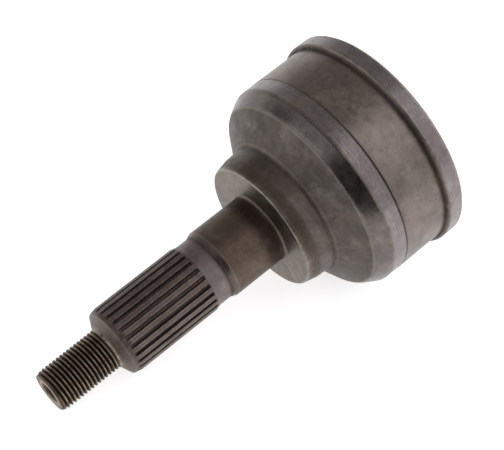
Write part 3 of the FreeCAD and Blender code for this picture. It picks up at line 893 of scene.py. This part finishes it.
@dataclass
class Bell:
    """The bell and its collar: a turned outside and a spherical hollow with six ball tracks."""

    face: float = -37.0
    knee: float = -31.7
    collar_root: float = -25.6
    bevel: float = -17.8
    shoulder: float = -12.3
    band: float = -5.4
    rim_foot: float = 13.3
    rim_wall: float = 14.6
    face_radius: float = 25.0
    knee_radius: float = 26.2
    collar_radius: float = 26.6
    bevel_drop: float = 3.1
    band_relief: float = 0.12
    wall: float = 4.0
    rim_height: float = 1.6
    rim_chamfer: float = 1.2
    mouth_lip: float = 3.4
    track_offset: float = 3.0
    track_play: float = 0.15
    cage_outward: float = 3.0
    cage_inward: float = 1.6
    sphere_play: float = 0.15
    track_turn: float = math.radians(22.5 + 1.5)
    land_columns: int = 11
    groove_columns: int = 26
    forged_height: float = 0.035
    forged_seed: int = 11
    forged_fade: Pair = (1.0, 1.5)
    step_shade_side: float = math.radians(138.0)
    step_shade_power: float = 5.0
    step_shade_reach: float = 1.5
    sheen_side: float = math.radians(112.0)
    sheen_spread: float = math.radians(30.0)
    sheen_x: float = 3.0
    sheen_length: float = 9.0
    sheen_peak: float = 0.42
    widest_opening: float = math.radians(110.0)
    least_opening: float = 1e-3
    open_tilt: float = 60.0  # degrees
    cap_turn: float = 120.0  # degrees
    walk_samples: int = 20000
    tilt_rows: int = 56
    cap_rows: int = 30
    bowl_rows: int = 16
    outside_step: float = 1.3
    mouth_step: float = 0.5
    floor_step: float = 4.0

    def __post_init__(self) -> None:
        """Read the balls' size and place, and the mouth's station, from the frame."""
        centre, ball_radius = ball_seat(ball_names()[0])
        self.pitch_radius = float(np.hypot(centre[1], centre[2]))
        self.first_track = float(np.arctan2(centre[2], centre[1]))
        self.tracks = len(ball_names())
        self.mouth = float(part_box(OUTER_BODY)[1][0]) / MM
        self.groove_radius = ball_radius + self.track_play
        self.path_radius = math.hypot(self.pitch_radius, self.track_offset)
        self.body_radius = self.path_radius + self.groove_radius + self.wall
        self.rim_radius = self.body_radius + self.rim_height
        self.cavity_radius = self.pitch_radius + self.cage_outward + self.sphere_play
        self.floor = -(self.pitch_radius - self.cage_inward)
        self.lip_radius = self.rim_radius - self.rim_chamfer - self.mouth_lip
        self.path_end = self.track_turn + math.asin(self.track_offset / self.path_radius)

    def angles(self) -> Array:
        """Even column angles that start between two tracks."""
        count = self.tracks * (2 * self.land_columns + self.groove_columns)
        return self.first_track - math.pi / self.tracks + circle(count)

    def outside(self) -> Skin:
        """The outside from the axis behind the face to the mouth's lip, slightly uneven.

        The forged faces carry the ripple. The dark line of the band's step is painted shade, strongest
        on the side that faces the camera: a power of half of 1 plus the cosine. A painted sheen
        lightens a patch of the barrel through the wear mark: a bell curve over its angle and its length.
        """
        relieved = self.body_radius - self.band_relief
        skin = turned(trace([
            Corner(self.face, 0.0),
            Corner(self.face, self.face_radius, rounding=0.8, wear=0.6, reach=0.35),
            Corner(self.knee, self.knee_radius, rounding=0.2),
            Corner(self.collar_root, self.collar_radius, rounding=1.6, soil=0.45, reach=0.9),
            Corner(self.bevel, relieved - self.bevel_drop, rounding=4.5, wear=0.0),
            Corner(self.shoulder, relieved, rounding=3.0, wear=0.0),
            Corner(self.band, relieved, rounding=0.03, soil=1.5, reach=0.3),
            Corner(self.band, self.body_radius, rounding=0.05, wear=0.0),
            Corner(self.rim_foot, self.body_radius, rounding=1.0, reach=1.0),
            Corner(self.rim_wall, self.rim_radius, rounding=0.25, wear=0.5, reach=0.4),
            Corner(self.mouth - self.rim_chamfer, self.rim_radius, rounding=0.35, wear=0.5, reach=0.4),
            Corner(self.mouth, self.rim_radius - self.rim_chamfer, rounding=0.25, reach=0.5),
            Corner(self.mouth, self.lip_radius)], self.outside_step), self.angles())
        before, after = self.forged_fade
        forged = ease(skin.x, self.face - before, self.collar_root) * (
            1.0 - ease(skin.x, self.bevel - after, self.bevel))
        skin.r = skin.r + forged * ripple(skin.x, skin.angle, self.forged_height, self.forged_seed)
        # Painted shade: the dark line at the band's step is strongest on the side that faces the camera.
        step_shade = (0.5 + 0.5 * np.cos(skin.angle - self.step_shade_side)) ** self.step_shade_power
        at_step = np.abs(skin.x - self.band) < self.step_shade_reach
        skin.marks[Mark.SOIL] = np.where(at_step, skin.marks[Mark.SOIL] * step_shade, skin.marks[Mark.SOIL])
        # Painted sheen: a lighter patch on the barrel, laid into the wear mark.
        turn = np.abs(skin.angle - self.sheen_side)
        off = (np.minimum(turn, FULL_TURN - turn) / self.sheen_spread) ** 2 + (
            (skin.x - self.sheen_x) / self.sheen_length) ** 2
        skin.marks[Mark.WEAR] = np.maximum(skin.marks[Mark.WEAR], self.sheen_peak * np.exp(-off))
        return skin

    def cavity(self, x: Array) -> Array:
        """Radius of the plain hollow: the larger of the sphere and the 45 degree mouth cone."""
        sphere = np.sqrt(np.clip(self.cavity_radius ** 2 - x ** 2, 0.0, None))
        return np.maximum(sphere, x - self.mouth + self.lip_radius)

    def groove(self, tilt: Array, cap: Array, around: Array) -> tuple[Array, ...]:
        """A track's wall: station, distance from the axis in the track's plane, and offset from it.

        The tube's middle lies on the path's arc at this tilt, and the wall is one tube radius
        from it along the arc's own radius, turned back by cap at the closed end, and to the side.
        """
        middle_x = self.track_offset + self.path_radius * np.sin(tilt)
        middle_r = self.path_radius * np.cos(tilt)
        lean = tilt - cap
        arm = self.groove_radius * np.cos(around)
        return (middle_x + arm * np.sin(lean), middle_r + arm * np.cos(lean),
                self.groove_radius * np.sin(around))

    def opening(self, tilt: Array, cap: Array) -> Array:
        """Half the angle that a track's wall spans: where it meets the plain hollow, by halving."""
        low = np.zeros_like(tilt)
        high = np.full_like(tilt, self.widest_opening)
        for _ in range(HALVINGS):
            middle = (low + high) / 2.0
            x, reach, side = self.groove(tilt, cap, middle)
            outside = np.hypot(reach, side) > self.cavity(x)
            low, high = np.where(outside, middle, low), np.where(outside, high, middle)
        return low

    def even_walk(self, turn: Array, opening: Array, count: int) -> Array:
        """Pick turns whose steps are even in turn and opening together, while the track is open."""
        is_open = opening > self.least_opening
        turn, opening = turn[is_open], opening[is_open]
        walk = np.concatenate([[0.0], np.cumsum(np.hypot(np.diff(turn), np.diff(opening)))])
        return np.interp(np.linspace(0.0, walk[-1], count), walk, turn)

    def tracks_skin(self, tilt: Array, cap: Array) -> Skin:
        """Rows across every track: even lands beside each, and the arc of its wall between them.

        Args:
            tilt: The tilt along the path for each row.
            cap: How far each row is turned about the path's closed end.

        Returns:
            The rows, with the columns of all tracks.
        """
        half = self.opening(tilt, cap)[:, None]
        sector = math.pi / self.tracks
        share = np.linspace(-1.0, 1.0, self.groove_columns + 1)[None, :]
        wall_x, wall_reach, wall_side = self.groove(tilt[:, None], cap[:, None], half * share)
        edge_x, edge_angle = wall_x[:, -1:], np.arctan2(wall_side[:, -1:], wall_reach[:, -1:])
        land = np.arange(self.land_columns)[None, :] / self.land_columns
        left = -sector + (sector - edge_angle) * land
        right = edge_angle + (sector - edge_angle) * land[:, 1:]
        plain = self.cavity(edge_x)
        wall_r = np.hypot(wall_reach, wall_side)
        x = np.concatenate([edge_x + 0.0 * left, wall_x, edge_x + 0.0 * right], axis=1)
        r = np.concatenate([plain + 0.0 * left, wall_r, plain + 0.0 * right], axis=1)
        angle = np.concatenate([left, np.arctan2(wall_side, wall_reach), right], axis=1)
        turns = self.first_track + circle(self.tracks)
        angle = (turns[None, :, None] + angle[:, None, :]).reshape(len(tilt), -1)
        marks = {mark: np.zeros(angle.shape) for mark in Mark}
        return Skin(np.tile(x, (1, self.tracks)), np.tile(r, (1, self.tracks)), angle, marks)

    def inside(self) -> Skin:
        """The hollow from the mouth's lip to the axis at the floor.

        The tracks draw their columns together where they end, so the plain rows beyond an end
        spread the columns again little by little, and no long face cuts across the round.
        """
        closed = -self.path_end
        tilts = np.radians(np.linspace(self.open_tilt, math.degrees(closed), self.walk_samples))
        tilt = self.even_walk(tilts, self.opening(tilts, np.zeros_like(tilts)), self.tilt_rows)
        caps = np.radians(np.linspace(0.0, self.cap_turn, self.walk_samples))
        cap = self.even_walk(caps, self.opening(np.full_like(caps, closed), caps), self.cap_rows)[1:]
        rows = self.tracks_skin(np.concatenate([tilt, np.full_like(cap, closed)]),
                                np.concatenate([np.zeros_like(tilt), cap]))
        near_x = float(self.groove(tilt[:1], np.zeros(1), np.zeros(1))[0][0])
        far_x = float(self.groove(np.array([closed]), cap[-1:], np.zeros(1))[0][0])
        near = Corner(near_x, float(self.cavity(np.array(near_x))))
        mouth = turned(trace([Corner(self.mouth, self.lip_radius), near], self.mouth_step),
                       self.angles())
        mouth.angle += (rows.angle[0] - self.angles()) * ease(mouth.x, self.mouth, near_x)
        sweep = np.linspace(math.acos(far_x / self.cavity_radius),
                            math.acos(self.floor / self.cavity_radius), self.bowl_rows)
        bowl = turned(Outline(self.cavity_radius * np.cos(sweep), self.cavity_radius * np.sin(sweep),
                              np.zeros_like(sweep), np.zeros_like(sweep)), self.angles())
        bowl.angle += (rows.angle[-1] - self.angles()) * ease(bowl.x, self.floor, far_x)
        floor = turned(trace([Corner(self.floor, self.cavity_radius * math.sin(sweep[-1])),
                              Corner(self.floor, 0.0)], self.floor_step), self.angles())
        return stacked(mouth, rows, bowl, floor)

    def build(self) -> Object:
        """Make the bell as one closed piece."""
        return mesh_piece("bell", [skin_part(stacked(self.outside(), self.inside()))])


@dataclass
class OuterRace:
    """The bell with its stub axle: one forging in three surfaces."""

    thread: StubThread = field(default_factory=StubThread)
    shaft: StubShaft = field(default_factory=StubShaft)
    bell: Bell = field(default_factory=Bell)

    def thread_finish(self) -> ForgedFinish:
        """Thread: dark flanks and light crests."""
        return ForgedFinish("thread_steel", tone(100, 86, 74), tone(128, 113, 99), worn_and_sheen=tone(200, 186, 168),
                            grime_and_shade=tone(46, 33, 24), wear_share=0.85, shade_and_grime_share=1.0, haze_share=0.1,
                            rough_low=0.42, rough_high=0.56)

    def shaft_finish(self) -> ForgedFinish:
        """Shaft: purple-brown splines, a lighter neck, a dark shank, and painted shade on the cone from neck
        to shank and next to the collar.
        """
        shaft = self.shaft
        return ForgedFinish(
            "splined_steel", tone(106, 94, 88), tone(130, 118, 112), rough_low=0.46, rough_high=0.6,
            grime_and_shade=tone(50, 39, 34), shade_and_grime_share=0.8, haze_share=0.12, fleck_at=(-71.8, -9.2, 8.7),
            zones=(
                Zone(shaft.front, shaft.runout, tone(106, 93, 91), 0.6),
                Zone(shaft.runout + 0.6, shaft.neck - 0.3, tone(140, 130, 130), 0.7, lines=0.6,
                     polish=0.04),
                # Painted reflection: the dark tone on the cone from neck to shank stands in for the dark
                # room mirrored there.
                Zone(shaft.neck - 0.1, shaft.shank - 0.3, tone(92, 82, 80), 0.6, polish=0.12),
                Zone(shaft.shank, shaft.face, tone(110, 95, 84), 0.75, lines=0.6),
                # Painted shade on the shank next to the collar's face.
                Zone(shaft.face - 7.5, shaft.face - 0.9, tone(58, 47, 43), 0.8, soft=2.4),
            ))

    def bell_finish(self) -> ForgedFinish:
        """Bell: forged cone, turned shoulder and band, brown body, and a turned rim."""
        bell = self.bell
        return ForgedFinish(
            "bell_steel", tone(112, 102, 95), tone(138, 128, 121), rough_low=0.36, rough_high=0.5,
            haze_share=0.24,
            zones=(
                Zone(bell.face - 0.5, bell.face + 0.2, tone(124, 114, 105), 0.9, soft=0.1, lines=0.3,
                     polish=0.02),
                Zone(bell.face + 1.2, bell.knee, tone(92, 80, 71), 0.75, soft=1.2, polish=-0.10),
                Zone(bell.knee, bell.collar_root + 0.5, tone(100, 91, 85), 0.7, soft=1.2,
                     polish=-0.06),
                Zone(bell.collar_root + 0.8, bell.bevel - 0.4, tone(92, 85, 80), 0.85, polish=-0.08),
                Zone(bell.bevel, bell.shoulder, tone(108, 101, 98), 0.8, polish=0.12),
                Zone(bell.shoulder + 0.9, bell.band - 0.1, tone(144, 135, 138), 0.75, lines=1.5,
                     polish=0.10),
                Zone(bell.band, bell.rim_foot, tone(131, 120, 114), 0.7, lines=0.3, polish=0.05),
                # Painted shade in the rim's foot and on its back wall.
                Zone(bell.rim_foot - 0.2, bell.rim_wall + 0.1, tone(88, 77, 70), 0.6, soft=0.6),
                Zone(bell.rim_wall + 0.4, bell.mouth - 1.5, tone(150, 141, 145), 0.75, lines=1.5,
                     polish=0.08),
            ))

    def build(self) -> list[Object]:
        """Make and dress the three pieces.

        Returns:
            The pieces.
        """
        pieces = [self.thread.build(), self.shaft.build(), self.bell.build()]
        for piece, finish in zip(pieces, (self.thread_finish(), self.shaft_finish(), self.bell_finish())):
            dress(piece, finish.make(), OUTER_BODY)
        return pieces


# --- inner pieces
@dataclass
class InnerSet:
    """The inner race with its ring, the cage and the balls."""

    split_angle: float = math.radians(28.0)
    merge: float = 1e-6
    ball_rows: int = 48
    ball_columns: int = 96
    finishes: dict[str, GroundFinish] = field(default_factory=lambda: {
        "inner_race": GroundFinish("ground_race_steel", tone(150, 146, 140), tone(104, 94, 82)),
        "ball_cage": GroundFinish("hardened_cage_steel", tone(118, 112, 106), tone(80, 70, 60),
                                  roughness=0.34),
        "circlip": GroundFinish("oiled_wire_steel", tone(120, 112, 106), tone(86, 74, 64),
                                roughness=0.3),
    })

    def finish_node(self, name: str) -> Object:
        """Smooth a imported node's shading between its true edges and give it a finish."""
        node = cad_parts[name]
        weld = node.modifiers.new("weld", "WELD")
        weld.merge_threshold = self.merge
        split = node.modifiers.new("edges", "EDGE_SPLIT")
        split.split_angle = self.split_angle
        node.data.shade_smooth()
        node.data.materials.clear()
        node.data.materials.append(self.finishes[name].make())
        return node

    def ball(self, name: str, steel: Material) -> Object:
        """A ball as a globe grid about its box's middle: poles on its X axis."""
        centre, radius = ball_seat(name)
        polar = np.linspace(math.pi, 0.0, self.ball_rows + 1)
        flat = np.zeros_like(polar)
        skin = turned(Outline(radius * np.cos(polar), radius * np.sin(polar), flat, flat),
                      circle(self.ball_columns))
        points, quads, marks = skin_part(skin)
        piece = mesh_piece(f"{name}_polished", [(points + centre, quads, marks)])
        dress(piece, steel, name)
        return piece

    def build(self) -> list[Object]:
        """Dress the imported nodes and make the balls.

        Returns:
            All the pieces.
        """
        pieces = [self.finish_node(name) for name in self.finishes]
        steel = BallFinish().make()
        return pieces + [self.ball(name, steel) for name in ball_names()]


# --- studio
@dataclass(frozen=True)
class Softbox:
    """A rectangular lamp that faces the joint, in metres, with its face's brightness."""

    name: str
    direction: Triple
    size: Pair
    radiance: float
    colour: Colour
    distance: float = 0.9


@dataclass(frozen=True)
class Room:
    """What the steel mirrors: white walls under a dark ceiling, a dark doorway and a grey curtain.

    A span holds the dot products between which one surface gives way to the next.
    """

    wall: Colour = (1.0, 1.0, 1.0)
    ceiling: Colour = (0.29, 0.28, 0.27)
    ceiling_span: Span = (0.16, 0.42)
    curtain: Colour = (0.10, 0.10, 0.10)
    curtain_at: Triple = (0.35, -0.93, -0.05)
    curtain_span: Span = (0.80, 0.96)
    curtain_share: float = 0.4
    doorway: Colour = (0.06, 0.055, 0.05)
    doorway_at: Triple = (-0.66, -0.74, 0.10)
    doorway_span: Span = (0.64, 0.84)
    fill: float = 0.3


@dataclass
class Studio:
    """The pale floor, soft lights and camera around the joint, lying on its rim and stub."""

    slope: float = math.radians(13.4)
    rim_rest: Pair = (20.0, -43.64)
    eye: Vector = field(default_factory=lambda: Vector((-0.2175, -0.3227, 0.4193)))
    aim: Vector = field(default_factory=lambda: Vector((-0.0352, 0.0085, -0.0069)))
    roll: float = math.radians(-0.15)
    lens: float = 112.5
    film: float = 36.0
    floor_front: float = 0.22
    floor_behind: float = 3.0
    floor_half: float = 3.0
    floor_tone: float = 0.9
    floor_glow: float = 0.76
    room: Room = Room()
    boxes: tuple[Softbox, ...] = (
        Softbox("right_softbox", (0.32, -0.73, 0.65), (0.5, 0.9), 1.0, (1.0, 0.96, 1.0)),
        Softbox("left_softbox", (-0.64, 0.10, 0.76), (0.75, 0.3), 1.0, (0.88, 0.94, 1.0)),
        Softbox("mouth_softbox", (0.93, -0.20, 0.30), (0.6, 0.6), 1.5, (1.0, 1.0, 1.0), distance=1.0),
    )

    def __post_init__(self) -> None:
        """Work out the floor's upward direction and the camera's axes."""
        self.upward = Vector((math.sin(self.slope), 0.0, math.cos(self.slope)))
        self.back = (self.eye - self.aim).normalized()
        level = self.upward.cross(self.back).normalized()
        lift = self.back.cross(level)
        self.right = level * math.cos(self.roll) + lift * math.sin(self.roll)
        self.up = self.back.cross(self.right)

    @staticmethod
    def hang(name: str, data: bpy.types.ID, axes: Sequence[Vector], place: Vector) -> Object:
        """Put a camera or lamp into the scene, with its own axes turned to the given ones."""
        item = bpy.data.objects.new(name, data)
        bpy.context.scene.collection.objects.link(item)
        item.matrix_world = Matrix.Translation(place) @ Matrix(axes).transposed().to_4x4()
        return item

    def camera(self) -> None:
        """Set up the camera."""
        data = bpy.data.cameras.new("camera")
        data.lens, data.sensor_width = self.lens, self.film
        data.dof.use_dof = False
        bpy.context.scene.camera = self.hang("camera", data, (self.right, self.up, self.back), self.eye)

    def floor(self) -> None:
        """Lay the floor under the rim and the stub's tip; it ends before the camera's doorway."""
        front = (self.back - self.upward * self.back.dot(self.upward)).normalized()
        side = self.upward.cross(front)
        foot = Vector((self.rim_rest[0] * MM, 0.0, self.rim_rest[1] * MM))
        reaches = ((self.floor_front, -1.0), (self.floor_front, 1.0), (-self.floor_behind, 1.0),
                   (-self.floor_behind, -1.0))
        corners = [foot + front * along + side * self.floor_half * across for along, across in reaches]
        mesh = bpy.data.meshes.new("floor")
        mesh.from_pydata([tuple(c) for c in corners], [], [(0, 1, 2, 3)])
        floor = bpy.data.objects.new("floor", mesh)
        bpy.context.scene.collection.objects.link(floor)
        material, bench = new_material("pale_floor")
        _, looked_at = bench.looks()
        matt = bench.node("BsdfDiffuse", {"Color": (*[self.floor_tone] * 3, 1.0)})
        glow = bench.node("Emission", {"Color": (1.0, 1.0, 1.0, 1.0),
                                       "Strength": looked_at * self.floor_glow})
        both = bench.node("AddShader", {0: matt.outputs[0], 1: glow.outputs[0]})
        bench.node("OutputMaterial", {"Surface": both.outputs[0]})
        mesh.materials.append(material)

    def world(self) -> None:
        """Hang a white backdrop for the camera and the room for the steel, with soft even fill."""
        world = bpy.data.worlds.new("studio")
        world.use_nodes = True
        bpy.context.scene.world = world
        bench, room = Bench(world.node_tree), self.room
        way = bench.wire("TexCoord", {}, "Generated")
        height = bench.gauge("DOT_PRODUCT", way, self.upward)
        walls = bench.blend(bench.step(height, *room.ceiling_span), room.wall, room.ceiling)
        beside = bench.step(bench.gauge("DOT_PRODUCT", way, room.curtain_at), *room.curtain_span)
        walls = bench.blend(beside * room.curtain_share, walls, room.curtain)
        facing = bench.step(bench.gauge("DOT_PRODUCT", way, room.doorway_at), *room.doorway_span)
        walls = bench.blend(facing, walls, room.doorway)
        camera, looked_at = bench.looks()
        walls = bench.blend(camera, walls, room.wall)
        fill = bench.node("Background", {"Color": (*[room.fill] * 3, 1.0), "Strength": 1.0})
        seen = bench.node("Background", {"Color": walls, "Strength": 1.0})
        mixed = bench.node("MixShader", {0: looked_at, 1: fill.outputs[0], 2: seen.outputs[0]})
        bench.node("OutputWorld", {"Surface": mixed.outputs[0]})

    def light(self, box: Softbox) -> None:
        """Hang a softbox so that it faces the joint."""
        data = bpy.data.lights.new(box.name, "AREA")
        data.shape = "RECTANGLE"
        data.size, data.size_y = box.size
        data.energy = box.radiance * math.pi * box.size[0] * box.size[1]
        data.color = box.colour
        toward = Vector(box.direction).normalized()
        side = self.upward.cross(toward).normalized()
        self.hang(box.name, data, (side, toward.cross(side), toward), self.aim + toward * box.distance)

    def build(self) -> None:
        """Set up everything around the joint."""
        self.camera()
        self.floor()
        self.world()
        for box in self.boxes:
            self.light(box)
        bpy.context.scene.view_settings.view_transform = "Standard"


def main() -> None:
    """Build the sub-assemblies in order and report their pieces."""
    builders: tuple[tuple[str, Callable[[], list[Object]]], ...] = (
        ("outer race", OuterRace().build),
        ("inner set", InnerSet().build),
    )
    for title, build in builders:
        for piece in build():
            log.info("%s: %s, %d faces", title, piece.name, len(piece.data.polygons))
    Studio().build()


if __name__ == "__main__":
    main()
